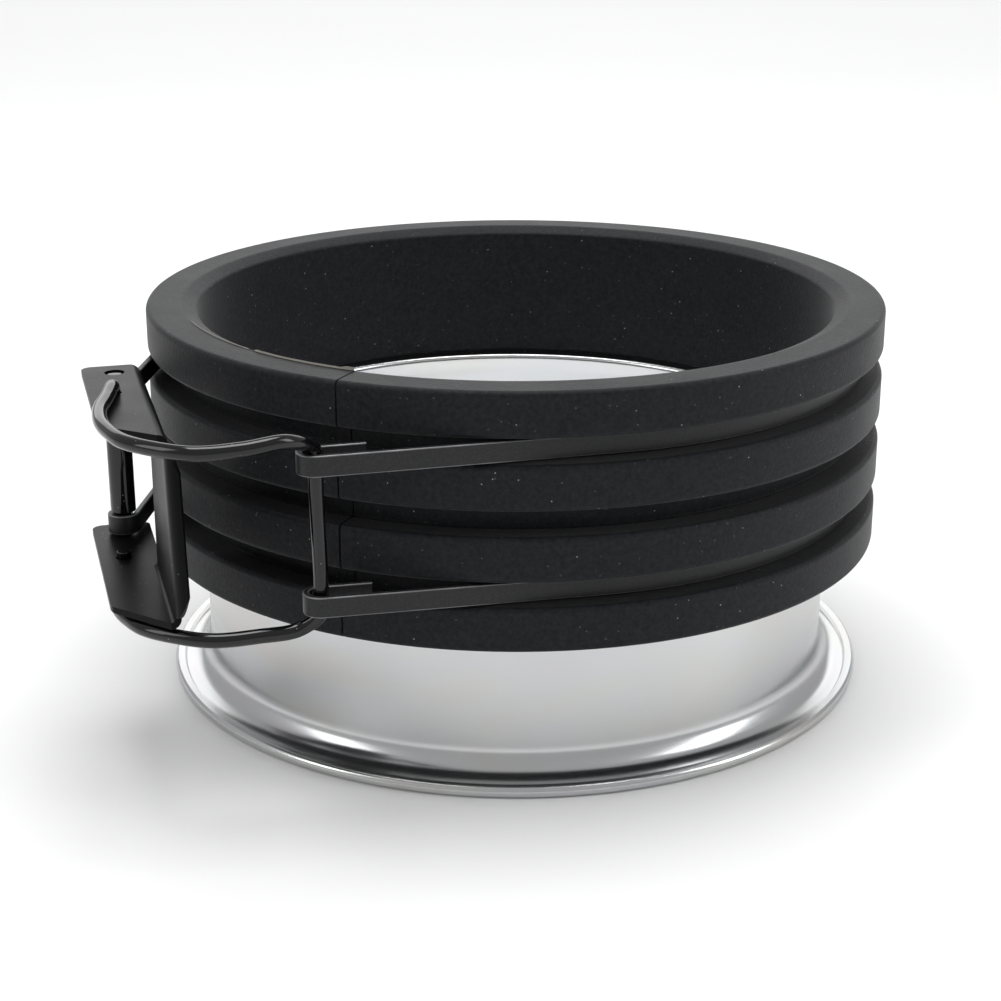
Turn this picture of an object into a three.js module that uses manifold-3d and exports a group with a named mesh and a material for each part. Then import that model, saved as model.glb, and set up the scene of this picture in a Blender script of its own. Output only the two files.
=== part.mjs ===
// Mounting collar of a studio snoot: a split, ribbed rubber collar clamped on a spun aluminium ring
// by a two-strap steel band with an over-centre wire latch, shown unlatched.
// Millimetres, +Z up. The origin is the centre of the bounding box's footprint, at its base.
import * as THREE from 'three';
import { mergeVertices } from 'three/addons/utils/BufferGeometryUtils.js';
import Module from 'manifold-3d';

const wasm = await Module();
wasm.setup();
const DEG = Math.PI / 180;

// Collar axis, measured from the origin. The latch stands out on one side, so the axis is off centre.
const AXIS_X = 3.1;
const AXIS_Y = 6.83;

// Spun ring
const RING_OUTER_R = 51.3;
const RING_WALL = 1.2;
const RING_HEIGHT = 37.8;
const RING_BEAD_R = 0.85;
const RING_BEAD_OVERLAP = 0.5;
const FLANGE_R = 57.4;
const FLANGE_BEAD_R = 0.95;
const FLANGE_FILLET = 3.9;
const RING_SEGMENTS = 64;

// Rubber collar
const COLLAR_TOP = 61.7;
const COLLAR_R = 59;
const COLLAR_BORE_R = 51;
const COLLAR_SEAT_R = 51.6;
const COLLAR_BEVEL_R = 53.45;
const COLLAR_BEVEL_DROP = 1;
const RIB_COUNT = 4;
const RIB_HEIGHT = 6.73;
const GROOVE_HEIGHT = 3.7;
const GROOVE_R = 54.9;
const RIB_EDGE = 0.6;
const SEAT_CLEARANCE = 0.4;
const SLIT_AZIMUTH = -115;
const SLIT_WIDTH = 0.5;
const PITCH = RIB_HEIGHT + GROOVE_HEIGHT;
const COLLAR_BOTTOM = COLLAR_TOP - (RIB_COUNT - 1) * PITCH - RIB_HEIGHT;

// Clamp straps: flat steel strip lying in the first and third grooves
const STRAP_THICK = 0.9;
const STRAP_HEIGHT = 3;
const STRAP_R = 55.55;
const UPPER_STRAP_Z = COLLAR_TOP - RIB_HEIGHT - GROOVE_HEIGHT / 2;
const LOWER_STRAP_Z = UPPER_STRAP_Z - 2 * PITCH;
const UPPER_RUN = { angle: 14.8, barX: -27.1 };
const LOWER_RUN = { angle: 12.4, barX: -27 };
const HOOK_R = 2.15;
const HOOK_TAIL = 7.3;
const STRAP_SPLIT = 0.3;

// Latch pivots, from the collar axis
const HINGE = new THREE.Vector2(-60, -28);
const PIN_R = 1.2;
const PIN_BORE_R = 1.5;
const SLEEVE_R = 1.9;
const PIN_INSET = 0.2;
const EYE_WRAP = 290;

// Lever: a channel of sheet steel. Its own x runs from the hinge to the tip, its open side is -y.
const LEVER_AZIMUTH = -74.6;
const SHEET = 0.9;
const LEVER_BACK = -4;
const LEVER_TIP = 35.8;
const LEVER_WEB_Y = 4.2;
const LEVER_EDGE_Y = -4.7;
const LEVER_BEND_R = 1.5;
const LEVER_CORNER_R = 1.6;
const LEVER_WEB_START = 15.5;
const LEVER_TAPER_START = 27.5;
const LEVER_TAPER_EASE = new THREE.Vector2(1.2, 0.5);
const TIP_LEAN = 2.6;
const LIP_R = 2.2;
const LIP_TURN = 70;
const LIP_INSET = 1.6;
const LIP_OVERLAP = 0.5;
const BAIL_PIVOT = new THREE.Vector2(10.9, -1.1);
const BAIL_HOLE_R = 1.4;
const STACK_GAP = 0.3;
const ROUND_SIDES = 20;
const CUT_PAST = 2;

// Wire bail
const WIRE_R = 1.05;
const WIRE_BEND = 1.7;
const BAR_BEND = 2.6;
const WIRE_SIDES = 8;
const WIRE_STEPS = 132;
const HOOK_END_DEPTH = 1.9;
const HOOK_END_TURN = -83;
const BAR_STRAIGHT = 3;
// The arms' plan from the pivot, before each arm's own bow, which the bent wire doesn't hold alike.
const ARM_PLAN = [[0.45, -7], [0.55, -11.4], [1, -14.5], [2.2, -18.7], [3.9, -22.2], [6.4, -25.9],
  [10.5, -28.8], [16.6, -31], [22.6, -29.2], [28, -26.2]];
const UPPER_BOW = 1.06;
const LOWER_BOW = 0.84;

const FLANGE_TOP_Z = UPPER_STRAP_Z + STRAP_HEIGHT / 2 + STACK_GAP + SHEET;
const FLANGE_LOW_Z = LOWER_STRAP_Z - STRAP_HEIGHT / 2 - STACK_GAP - SHEET;
const UPPER_ARM_Z = FLANGE_TOP_Z + STACK_GAP + WIRE_R;
const LOWER_ARM_Z = FLANGE_LOW_Z - STACK_GAP - WIRE_R;

const steelBlack = () => new THREE.MeshStandardMaterial({ color: 0x1c1d1f, roughness: 0.3, metalness: 0.4 });
const strapBlack = () => new THREE.MeshStandardMaterial({ color: 0x2e3032, roughness: 0.45, metalness: 0.4 });
const rubberBlack = () => new THREE.MeshStandardMaterial({ color: 0x1b1d20, roughness: 0.75, metalness: 0 });
const spunMetal = () => new THREE.MeshStandardMaterial({ color: 0xd6d7d9, roughness: 0.25, metalness: 1 });

const polar = (r, azimuth) => new THREE.Vector2(r * Math.cos(azimuth * DEG), r * Math.sin(azimuth * DEG));

// Points on an arc, both ends included, with angles in degrees.
function arc(cx, cy, r, from, to, steps) {
  const points = [];
  for (let i = 0; i <= steps; i += 1) {
    points.push(polar(r, from + (to - from) * i / steps).add(new THREE.Vector2(cx, cy)));
  }
  return points;
}

// A geometry stripped to merged positions, with its faces turned outwards.
function clean(geometry) {
  const bare = new THREE.BufferGeometry();
  const whole = geometry.index ? geometry.toNonIndexed() : geometry;
  bare.setAttribute('position', whole.getAttribute('position'));
  const merged = mergeVertices(bare, 1e-4);
  const kept = [];
  const index = merged.index.array;
  for (let i = 0; i < index.length; i += 3) {
    const [a, b, c] = [index[i], index[i + 1], index[i + 2]];
    if (a !== b && b !== c && a !== c) kept.push(a, b, c);
  }
  merged.setIndex(kept);
  if (signedVolume(merged) < 0) {
    for (let i = 0; i < kept.length; i += 3) [kept[i], kept[i + 1]] = [kept[i + 1], kept[i]];
    merged.setIndex(kept);
  }
  return merged;
}

function signedVolume(geometry) {
  const position = geometry.getAttribute('position');
  const [a, b, c] = [new THREE.Vector3(), new THREE.Vector3(), new THREE.Vector3()];
  const index = geometry.index.array;
  let sum = 0;
  for (let i = 0; i < index.length; i += 3) {
    a.fromBufferAttribute(position, index[i]);
    b.fromBufferAttribute(position, index[i + 1]);
    c.fromBufferAttribute(position, index[i + 2]);
    sum += a.dot(b.cross(c)) / 6;
  }
  return sum;
}

function toSolid(geometry) {
  const body = clean(geometry);
  return new wasm.Manifold(new wasm.Mesh({
    numProp: 3,
    vertProperties: new Float32Array(body.getAttribute('position').array),
    triVerts: new Uint32Array(body.index.array),
  }));
}

function fromSolid(solid) {
  const mesh = solid.getMesh();
  const geometry = new THREE.BufferGeometry();
  geometry.setAttribute('position', new THREE.BufferAttribute(new Float32Array(mesh.vertProperties), 3));
  geometry.setIndex(Array.from(mesh.triVerts));
  return geometry;
}

// A body turned about the collar axis from a closed outline of (radius, height) points.
function turned(outline, segments) {
  const profile = [...outline, outline[0].clone()];
  const geometry = new THREE.LatheGeometry(profile, segments);
  geometry.rotateX(Math.PI / 2);
  return clean(geometry);
}

// A plan outline raised from one height to another.
function raised(points, low, high, holes = []) {
  const shape = new THREE.Shape(points);
  holes.forEach((hole) => shape.holes.push(new THREE.Path(hole)));
  const geometry = new THREE.ExtrudeGeometry(shape, { depth: high - low, bevelEnabled: false });
  geometry.translate(0, 0, low);
  return clean(geometry);
}

// The outline of a strip of even thickness along an open line of plan points.
function stripOutline(line, thickness) {
  const left = [];
  const right = [];
  line.forEach((point, i) => {
    const before = line[Math.max(i - 1, 0)];
    const after = line[Math.min(i + 1, line.length - 1)];
    const along = after.clone().sub(before).normalize();
    const side = new THREE.Vector2(-along.y, along.x).multiplyScalar(thickness / 2);
    left.push(point.clone().add(side));
    right.unshift(point.clone().sub(side));
  });
  return [...left, ...right];
}

function circle(cx, cy, r, sides = ROUND_SIDES) {
  return arc(cx, cy, r, 0, 360 - 360 / sides, sides - 1);
}

function rod(r, low, high) {
  return raised(circle(0, 0, r), low, high);
}

function tube(outer, inner, low, high) {
  return raised(circle(0, 0, outer), low, high, [circle(0, 0, inner)]);
}

// Spun ring: one sheet drawn from a beaded rim down the wall and out into a flange with a rolled edge.
function ringOutline() {
  const inner = RING_OUTER_R - RING_WALL;
  const beadX = inner + RING_BEAD_R - RING_BEAD_OVERLAP;
  const beadZ = RING_HEIGHT - RING_BEAD_R;
  const bend = new THREE.Vector2(RING_OUTER_R + FLANGE_FILLET, RING_WALL + FLANGE_FILLET);
  return [
    new THREE.Vector2(inner, RING_HEIGHT - 4 * RING_BEAD_R),
    new THREE.Vector2(inner, bend.y),
    ...arc(bend.x, bend.y, FLANGE_FILLET + RING_WALL, 180, 270, 5).slice(1),
    ...arc(FLANGE_R - FLANGE_BEAD_R, FLANGE_BEAD_R, FLANGE_BEAD_R, -90, 110, 6),
    new THREE.Vector2(FLANGE_R - 2.4 * FLANGE_BEAD_R, RING_WALL),
    ...arc(bend.x, bend.y, FLANGE_FILLET, 270, 180, 4).slice(1),
    new THREE.Vector2(RING_OUTER_R, RING_HEIGHT - 2.2 * RING_BEAD_R),
    ...arc(beadX, beadZ, RING_BEAD_R, 30, 210, 6),
  ];
}

// Rubber collar: four square ribs with eased edges, three grooves and a wider seat for the ring.
function collarOutline() {
  const points = [];
  for (let i = 0; i < RIB_COUNT; i += 1) {
    const top = COLLAR_TOP - i * PITCH;
    const bottom = top - RIB_HEIGHT;
    const edge = COLLAR_R - RIB_EDGE;
    if (i > 0) points.push(new THREE.Vector2(GROOVE_R, top));
    points.push(...arc(edge, top - RIB_EDGE, RIB_EDGE, 90, 0, 1));
    points.push(...arc(edge, bottom + RIB_EDGE, RIB_EDGE, 0, -90, 1));
    if (i < RIB_COUNT - 1) points.push(new THREE.Vector2(GROOVE_R, bottom));
  }
  const shoulder = RING_HEIGHT + SEAT_CLEARANCE;
  points.push(new THREE.Vector2(COLLAR_SEAT_R, COLLAR_BOTTOM));
  points.push(new THREE.Vector2(COLLAR_SEAT_R, shoulder));
  points.push(new THREE.Vector2(COLLAR_BORE_R, shoulder + SEAT_CLEARANCE));
  points.push(new THREE.Vector2(COLLAR_BORE_R, COLLAR_TOP - COLLAR_BEVEL_DROP));
  points.push(new THREE.Vector2(COLLAR_BEVEL_R, COLLAR_TOP));
  return points;
}

function collarGeometry() {
  const whole = toSolid(turned(collarOutline(), RING_SEGMENTS));
  const slit = new THREE.BoxGeometry(2 * COLLAR_R, SLIT_WIDTH, 2 * COLLAR_TOP);
  slit.translate(COLLAR_R, 0, COLLAR_TOP / 2);
  slit.rotateZ(SLIT_AZIMUTH * DEG);
  return fromSolid(whole.subtract(toSolid(slit)));
}

// Main length of a strap: an eye rolled round the hinge pin, a straight run to the groove, then round
// the groove to where the free run leaves it.
function strapLine(run) {
  const eyeR = PIN_BORE_R + STRAP_THICK / 2;
  const pull = Math.acos((STRAP_R + eyeR) / HINGE.length()) / DEG;
  const leave = Math.atan2(HINGE.y, HINGE.x) / DEG + 360 - pull;
  const end = -90 + run.angle + STRAP_SPLIT / STRAP_R / DEG;
  return [
    ...arc(0, 0, STRAP_R, end, leave, 72),
    ...arc(HINGE.x, HINGE.y, eyeR, leave + 180, leave + 180 - EYE_WRAP, 22),
  ];
}

// Free run of a strap: straight off the groove, then folded back into a hook for the bail's bar.
function strapEndLine(run) {
  const start = polar(STRAP_R, -90 + run.angle);
  const middle = start.clone().add(polar(runLength(run) / 2, 180 + run.angle));
  const centre = hookCentre(run);
  const bend = arc(centre.x, centre.y, HOOK_R, 270 + run.angle, 90 + run.angle, 12);
  return [start, middle, ...bend, bend.at(-1).clone().add(polar(HOOK_TAIL, run.angle))];
}

function runLength(run) {
  const [sine, cosine] = [Math.sin(run.angle * DEG), Math.cos(run.angle * DEG)];
  return ((STRAP_R - HOOK_R) * sine - run.barX) / cosine;
}

function hookCentre(run) {
  const start = polar(STRAP_R, -90 + run.angle);
  return start.add(polar(runLength(run), 180 + run.angle)).add(polar(HOOK_R, 90 + run.angle));
}

function strapGeometry(line, middle) {
  const half = STRAP_HEIGHT / 2;
  return raised(stripOutline(line, STRAP_THICK), middle - half, middle + half);
}

// Lever section, seen along its length: a web with two flanges and rounded bends.
function channelOutline() {
  const bendY = LEVER_WEB_Y - LEVER_BEND_R;
  const innerR = LEVER_BEND_R - SHEET;
  const [low, high] = [FLANGE_LOW_Z, FLANGE_TOP_Z];
  return [
    new THREE.Vector2(LEVER_EDGE_Y, low),
    ...arc(bendY, low + LEVER_BEND_R, LEVER_BEND_R, -90, 0, 4),
    ...arc(bendY, high - LEVER_BEND_R, LEVER_BEND_R, 0, 90, 4),
    new THREE.Vector2(LEVER_EDGE_Y, high),
    new THREE.Vector2(LEVER_EDGE_Y, high - SHEET),
    ...arc(bendY, high - LEVER_BEND_R, innerR, 90, 0, 3),
    ...arc(bendY, low + LEVER_BEND_R, innerR, 0, -90, 3),
    new THREE.Vector2(LEVER_EDGE_Y, low + SHEET),
  ];
}

// The flanges' plan: round corners at the hinge end, a slanted cut towards the tip, two pivot holes.
function leverPlan() {
  const corner = LEVER_CORNER_R;
  const taper = new THREE.Vector2(LEVER_TAPER_START, LEVER_EDGE_Y);
  return [
    ...arc(LEVER_BACK + corner, LEVER_EDGE_Y + corner, corner, 180, 270, 4),
    taper,
    taper.clone().add(LEVER_TAPER_EASE),
    new THREE.Vector2(LEVER_TIP, LEVER_WEB_Y - LEVER_BEND_R),
    new THREE.Vector2(LEVER_TIP, LEVER_WEB_Y),
    ...arc(LEVER_BACK + corner, LEVER_WEB_Y - corner, corner, 90, 180, 4),
  ];
}

function lipLine() {
  const start = new THREE.Vector2(LEVER_TIP - LIP_OVERLAP, LEVER_WEB_Y - SHEET / 2);
  return [start, ...arc(LEVER_TIP, start.y + LIP_R, LIP_R, -90, -90 + LIP_TURN, 6)];
}

function leverGeometry() {
  const channel = new THREE.ExtrudeGeometry(new THREE.Shape(channelOutline()), {
    depth: LEVER_TIP - LEVER_BACK, bevelEnabled: false,
  });
  channel.rotateX(Math.PI / 2);
  channel.rotateZ(Math.PI / 2);
  channel.translate(LEVER_BACK, 0, 0);
  const holes = [circle(0, 0, PIN_BORE_R), circle(BAIL_PIVOT.x, BAIL_PIVOT.y, BAIL_HOLE_R)];
  const plan = toSolid(raised(leverPlan(), FLANGE_LOW_Z - CUT_PAST, FLANGE_TOP_Z + CUT_PAST, holes));
  const windowBack = LEVER_BACK - CUT_PAST;
  const inside = FLANGE_TOP_Z - FLANGE_LOW_Z - 2 * SHEET;
  const window = new THREE.BoxGeometry(LEVER_WEB_START - windowBack, 4 * SHEET, inside);
  window.translate((LEVER_WEB_START + windowBack) / 2, LEVER_WEB_Y, (FLANGE_TOP_Z + FLANGE_LOW_Z) / 2);
  const lip = raised(stripOutline(lipLine(), SHEET), FLANGE_LOW_Z + LIP_INSET, FLANGE_TOP_Z - LIP_INSET);
  const solid = toSolid(channel).intersect(plan).subtract(toSolid(window)).add(toSolid(lip));
  return leanTip(fromSolid(solid));
}

// The tip is cut at a slant: longer at the lower flange than at the upper one.
function leanTip(geometry) {
  const position = geometry.getAttribute('position');
  const middle = (FLANGE_TOP_Z + FLANGE_LOW_Z) / 2;
  const half = (FLANGE_TOP_Z - FLANGE_LOW_Z) / 2;
  for (let i = 0; i < position.count; i += 1) {
    const x = position.getX(i);
    const share = Math.max(0, (x - LEVER_WEB_START) / (LEVER_TIP - LEVER_WEB_START));
    position.setX(i, x - TIP_LEAN * share * (position.getZ(i) - middle) / half);
  }
  return geometry;
}

// Plan of a bail arm, from its pivot in the lever to where it turns down into the bar.
function armPlan(pivot, bow) {
  return ARM_PLAN.map(([x, y]) => new THREE.Vector2(pivot.x + x, pivot.y + y * bow));
}

function bailPath() {
  const pivot = BAIL_PIVOT.clone().rotateAround(new THREE.Vector2(), LEVER_AZIMUTH * DEG).add(HINGE);
  const side = polar(WIRE_BEND, HOOK_END_TURN);
  const half = (sign, armZ, endZ, run, armBow) => {
    const at = (p, z) => new THREE.Vector3(p.x, p.y, z);
    const bar = hookCentre(run);
    const dip = WIRE_BEND * (1 - Math.SQRT1_2);
    const down = Array.from({ length: BAR_STRAIGHT }, (_, i) => at(bar, armZ - sign * BAR_BEND * (i + 1)));
    return [
      at(pivot, endZ),
      at(pivot, armZ - sign * WIRE_BEND),
      at(pivot.clone().addScaledVector(side, dip / WIRE_BEND), armZ - sign * dip),
      at(pivot.clone().add(side), armZ),
      ...armPlan(pivot, armBow).map((p) => at(p, armZ)),
      ...down,
    ];
  };
  const upper = half(1, UPPER_ARM_Z, FLANGE_TOP_Z - HOOK_END_DEPTH, UPPER_RUN, UPPER_BOW);
  const lower = half(-1, LOWER_ARM_Z, FLANGE_LOW_Z + HOOK_END_DEPTH, LOWER_RUN, LOWER_BOW);
  return new THREE.CatmullRomCurve3([...upper, ...lower.reverse()], false, 'centripetal');
}

function bailGeometry() {
  const section = new THREE.Shape(circle(0, 0, WIRE_R, WIRE_SIDES));
  const geometry = new THREE.ExtrudeGeometry(section, {
    steps: WIRE_STEPS, extrudePath: bailPath(), bevelEnabled: false,
  });
  return clean(geometry);
}

function named(name, geometry, material) {
  const mesh = new THREE.Mesh(geometry, material);
  mesh.name = name;
  return mesh;
}

const object = new THREE.Group();
const onAxis = new THREE.Group();
onAxis.position.set(AXIS_X, AXIS_Y, 0);
object.add(onAxis);

onAxis.add(named('flange_ring', turned(ringOutline(), RING_SEGMENTS), spunMetal()));
onAxis.add(named('rubber_collar', collarGeometry(), rubberBlack()));
onAxis.add(named('upper_strap', strapGeometry(strapLine(UPPER_RUN), UPPER_STRAP_Z), strapBlack()));
onAxis.add(named('lower_strap', strapGeometry(strapLine(LOWER_RUN), LOWER_STRAP_Z), strapBlack()));
onAxis.add(named('upper_strap_end', strapGeometry(strapEndLine(UPPER_RUN), UPPER_STRAP_Z), strapBlack()));
onAxis.add(named('lower_strap_end', strapGeometry(strapEndLine(LOWER_RUN), LOWER_STRAP_Z), strapBlack()));
onAxis.add(named('wire_bail', bailGeometry(), steelBlack()));

const latch = new THREE.Group();
latch.position.set(HINGE.x, HINGE.y, 0);
onAxis.add(latch);
const sleeveLow = LOWER_STRAP_Z + STRAP_HEIGHT / 2 + STACK_GAP;
const sleeveHigh = UPPER_STRAP_Z - STRAP_HEIGHT / 2 - STACK_GAP;
latch.add(named('hinge_pin', rod(PIN_R, FLANGE_LOW_Z + PIN_INSET, FLANGE_TOP_Z - PIN_INSET), steelBlack()));
latch.add(named('hinge_sleeve', tube(SLEEVE_R, PIN_BORE_R, sleeveLow, sleeveHigh), steelBlack()));

const lever = named('lever', leverGeometry(), steelBlack());
lever.rotation.z = LEVER_AZIMUTH * DEG;
latch.add(lever);

export default object;
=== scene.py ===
"""Looks of a snoot's mounting collar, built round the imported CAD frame.

Sizes named here are in millimetres. Lights and materials work in metres.
"""
import math
import bmesh
import bpy
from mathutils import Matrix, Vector, noise


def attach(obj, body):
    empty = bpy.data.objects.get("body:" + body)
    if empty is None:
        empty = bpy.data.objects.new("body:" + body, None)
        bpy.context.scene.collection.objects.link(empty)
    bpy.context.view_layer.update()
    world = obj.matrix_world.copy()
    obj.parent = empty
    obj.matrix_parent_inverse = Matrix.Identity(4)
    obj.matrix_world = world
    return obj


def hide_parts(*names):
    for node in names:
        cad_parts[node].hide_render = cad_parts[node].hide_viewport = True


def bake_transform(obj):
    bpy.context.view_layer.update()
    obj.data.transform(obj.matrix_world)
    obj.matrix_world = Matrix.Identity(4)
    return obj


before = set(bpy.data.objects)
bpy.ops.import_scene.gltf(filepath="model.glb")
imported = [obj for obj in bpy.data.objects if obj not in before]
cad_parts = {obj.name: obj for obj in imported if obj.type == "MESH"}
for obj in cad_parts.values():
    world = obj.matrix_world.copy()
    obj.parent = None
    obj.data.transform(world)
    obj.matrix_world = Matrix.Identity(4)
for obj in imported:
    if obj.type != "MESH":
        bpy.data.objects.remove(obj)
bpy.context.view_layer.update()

MM = 0.001
DEG = math.pi / 180
SMOOTH_ANGLE = 35

# Collar axis, in the row frame
AXIS = (3.1, 6.83)

# Spun ring
RING_OUTER_R = 51.3
RING_WALL = 1.2
RING_HEIGHT = 37.8
RING_BEAD_R = 0.85
RING_BEAD_OVERLAP = 0.5
RING_SEGMENTS = 256
FLANGE_R = 57.4
FLANGE_BEAD_R = 0.95
FLANGE_FILLET = 4.4
FLANGE_CREASE_R = 0.5
FLANGE_CREASE_IN = 1.3
WALL_STEP = 8

# Rubber collar
COLLAR_TOP = 61.7
COLLAR_R = 59.0
COLLAR_BORE_R = 51.0
COLLAR_SEAT_R = 51.6
COLLAR_BEVEL_R = 53.45
COLLAR_BEVEL_DROP = 1.0
RIB_COUNT = 4
RIB_HEIGHT = 6.73
GROOVE_HEIGHT = 3.7
GROOVE_R = 54.9
RIB_EDGE_R = 0.8
GROOVE_ROOT_R = 0.35
SEAT_EDGE_R = 0.5
SEAT_CLEARANCE = 0.4
COLLAR_SEGMENTS = 300
SLIT_AZIMUTH = -115.0
SLIT_WIDTH = 0.3
FLASH_RISE = 0.36
FLASH_LIP = 0.2
FLASH_FROM = -158
FLASH_NICK = -136
# Above this height over the collar's top, the flash is painted pale: a painted highlight.
FLASH_HIGHLIGHT_ABOVE = 0.08
PITCH = RIB_HEIGHT + GROOVE_HEIGHT
COLLAR_BOTTOM = COLLAR_TOP - (RIB_COUNT - 1) * PITCH - RIB_HEIGHT

# Straps
STRAP_THICK = 0.9
STRAP_HEIGHT = 3.0
STRAP_R = 55.55
STRAP_EDGE_R = 0.2
UPPER_STRAP_Z = COLLAR_TOP - RIB_HEIGHT - GROOVE_HEIGHT / 2
LOWER_STRAP_Z = UPPER_STRAP_Z - 2 * PITCH
UPPER_RUN = {"angle": 14.8, "bar_x": -27.1}
LOWER_RUN = {"angle": 12.4, "bar_x": -27.0}
HOOK_R = 2.15
HOOK_TAIL = 7.3

# Latch
HINGE = (-60.0, -28.0)
PIN_R = 1.2
PIN_BORE_R = 1.5
SLEEVE_R = 1.9
PIN_INSET = 0.2
PIN_EDGE_R = 0.3
SLEEVE_EDGE_R = 0.12
EYE_WRAP = 290
LEVER_AZIMUTH = -74.6
SHEET = 0.9
LEVER_BACK = -4.0
LEVER_TIP = 35.8
LEVER_WEB_Y = 4.2
LEVER_EDGE_Y = -4.7
LEVER_BEND_R = 1.5
LEVER_CORNER_R = 1.6
LEVER_EDGE_EASE = 0.16
LEVER_WEB_START = 15.5
LEVER_TAPER_START = 27.5
LEVER_TAPER_EASE = [(0.7, 0.2), (1.2, 0.5)]
WINDOW_PAST = 2
TIP_LEAN = 2.6
LIP_R = 2.2
LIP_TURN = 70
LIP_INSET = 1.6
LIP_CORNER = 3.2
BAIL_PIVOT = (10.9, -1.1)
BAIL_HOLE_R = 1.22
HOLE_SIDES = 32
STACK_GAP = 0.3
WIRE_R = 1.05
WIRE_SIDES = 20
WIRE_STEPS = 14
WIRE_END_EASE = 0.3
WIRE_BEND = 1.7
BAR_BEND = 2.6
HOOK_END_DEPTH = 1.9
HOOK_END_TURN = -83
BAR_STRAIGHT = 3
ARM_PLAN = [(0.45, -7.0), (0.55, -11.4), (1.0, -14.5), (2.2, -18.7), (3.9, -22.2), (6.4, -25.9), (10.5, -28.8),
            (16.6, -31.0), (22.6, -29.2), (28.0, -26.2)]
UPPER_BOW = 1.06
LOWER_BOW = 0.84
FLANGE_TOP_Z = UPPER_STRAP_Z + STRAP_HEIGHT / 2 + STACK_GAP + SHEET
FLANGE_LOW_Z = LOWER_STRAP_Z - STRAP_HEIGHT / 2 - STACK_GAP - SHEET
UPPER_ARM_Z = FLANGE_TOP_Z + STACK_GAP + WIRE_R
LOWER_ARM_Z = FLANGE_LOW_Z - STACK_GAP - WIRE_R

# Camera, in the row frame
CAMERA_AT = (0.7, -306.27, 135.2)
CAMERA_PITCH = 19.26
CAMERA_LENS = 71.2


def polar(r, azimuth):
    return (r * math.cos(azimuth * DEG), r * math.sin(azimuth * DEG))


def plus(a, b):
    return (a[0] + b[0], a[1] + b[1])


def arc(cx, cy, r, start, end, steps):
    """Points on an arc, both ends included."""
    return [plus((cx, cy), polar(r, start + (end - start) * i / steps)) for i in range(steps + 1)]


# ---------------------------------------------------------------- mesh helpers

def make_object(name, bm):
    """An object in the row frame, in metres, from a bmesh in millimetres round the collar's axis."""
    bmesh.ops.remove_doubles(bm, verts=bm.verts, dist=1e-4)
    bmesh.ops.recalc_face_normals(bm, faces=bm.faces)
    for vert in bm.verts:
        vert.co = Vector(((vert.co.x + AXIS[0]) * MM, (vert.co.y + AXIS[1]) * MM, vert.co.z * MM))
    mesh = bpy.data.meshes.new(name)
    bm.to_mesh(mesh)
    bm.free()
    piece = bpy.data.objects.new(name, mesh)
    bpy.context.scene.collection.objects.link(piece)
    smooth_by_angle(mesh, SMOOTH_ANGLE)
    return piece


def smooth_by_angle(mesh, angle):
    mesh.shade_smooth()
    mesh.set_sharp_from_angle(angle=angle * DEG)


def turned(name, outline, segments, start=0.0, sweep=360.0, wobble=None):
    """A closed outline of (radius, height) points turned about the collar's axis; open sweeps get end caps."""
    bm = bmesh.new()
    closed = sweep >= 360
    rings = []
    for i in range(segments if closed else segments + 1):
        azimuth = start + sweep * i / segments
        ring = []
        for r, z in outline:
            x, y = polar(r, azimuth)
            if wobble:
                x, y, z = wobble(x, y, z)
            ring.append(bm.verts.new((x, y, z)))
        rings.append(ring)
    count = len(outline)
    for i in range(segments):
        a, b = rings[i], rings[(i + 1) % len(rings)]
        for j in range(count):
            k = (j + 1) % count
            bm.faces.new((a[j], a[k], b[k], b[j]))
    if not closed:
        bm.faces.new(rings[0])
        bm.faces.new(reversed(rings[-1]))
    return make_object(name, bm)


def rounded_box_section(half_x, half_y, r, steps=4):
    """A rectangle's outline with rounded corners, as (across, up) points."""
    points = []
    for sx, sy, start in ((1, 1, 0), (-1, 1, 90), (-1, -1, 180), (1, -1, 270)):
        points += arc(sx * (half_x - r), sy * (half_y - r), r, start, start + 90, steps)
    return points


def sweep_section(name, path, section, up=None, edge_wear_and_highlight=None):
    """A section swept along 3-D points, upright if up is given, else with its frame carried along."""
    bm = bmesh.new()
    wear_and_highlight = bm.verts.layers.float.new("wear_and_highlight") if edge_wear_and_highlight else None
    points = [Vector(p) for p in path]
    rings = []
    across = None
    for i, point in enumerate(points):
        along = (points[min(i + 1, len(points) - 1)] - points[max(i - 1, 0)]).normalized()
        if up:
            lift = Vector(up)
            across = along.cross(lift).normalized()
        else:
            across = along.orthogonal().normalized() if across is None else across
            across = (across - along * across.dot(along)).normalized()
            lift = along.cross(across)
        ring = []
        for k, (a, b) in enumerate(section):
            vert = bm.verts.new(point + across * a + lift * b)
            if wear_and_highlight:
                vert[wear_and_highlight] = edge_wear_and_highlight[k]
            ring.append(vert)
        rings.append(ring)
    count = len(section)
    for first, second in zip(rings, rings[1:]):
        for j in range(count):
            k = (j + 1) % count
            bm.faces.new((first[j], first[k], second[k], second[j]))
    bm.faces.new(rings[0])
    bm.faces.new(reversed(rings[-1]))
    return make_object(name, bm)


def extruded(name, outline, low, high):
    """A plan outline raised from one height to another."""
    bm = bmesh.new()
    bottom = [bm.verts.new((x, y, low)) for x, y in outline]
    top = [bm.verts.new((x, y, high)) for x, y in outline]
    for i in range(len(outline)):
        k = (i + 1) % len(outline)
        bm.faces.new((bottom[i], bottom[k], top[k], top[i]))
    bm.faces.new(bottom)
    bm.faces.new(top)
    return make_object(name, bm)


def apply_modifiers(piece):
    depsgraph = bpy.context.evaluated_depsgraph_get()
    mesh = bpy.data.meshes.new_from_object(piece.evaluated_get(depsgraph))
    piece.modifiers.clear()
    piece.data = mesh


def combine(piece, other, operation):
    """Boolean of piece with other, which is then removed."""
    modifier = piece.modifiers.new(operation, "BOOLEAN")
    modifier.operation = operation
    modifier.object = other
    modifier.solver = "EXACT"
    apply_modifiers(piece)
    bpy.data.objects.remove(other)


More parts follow.
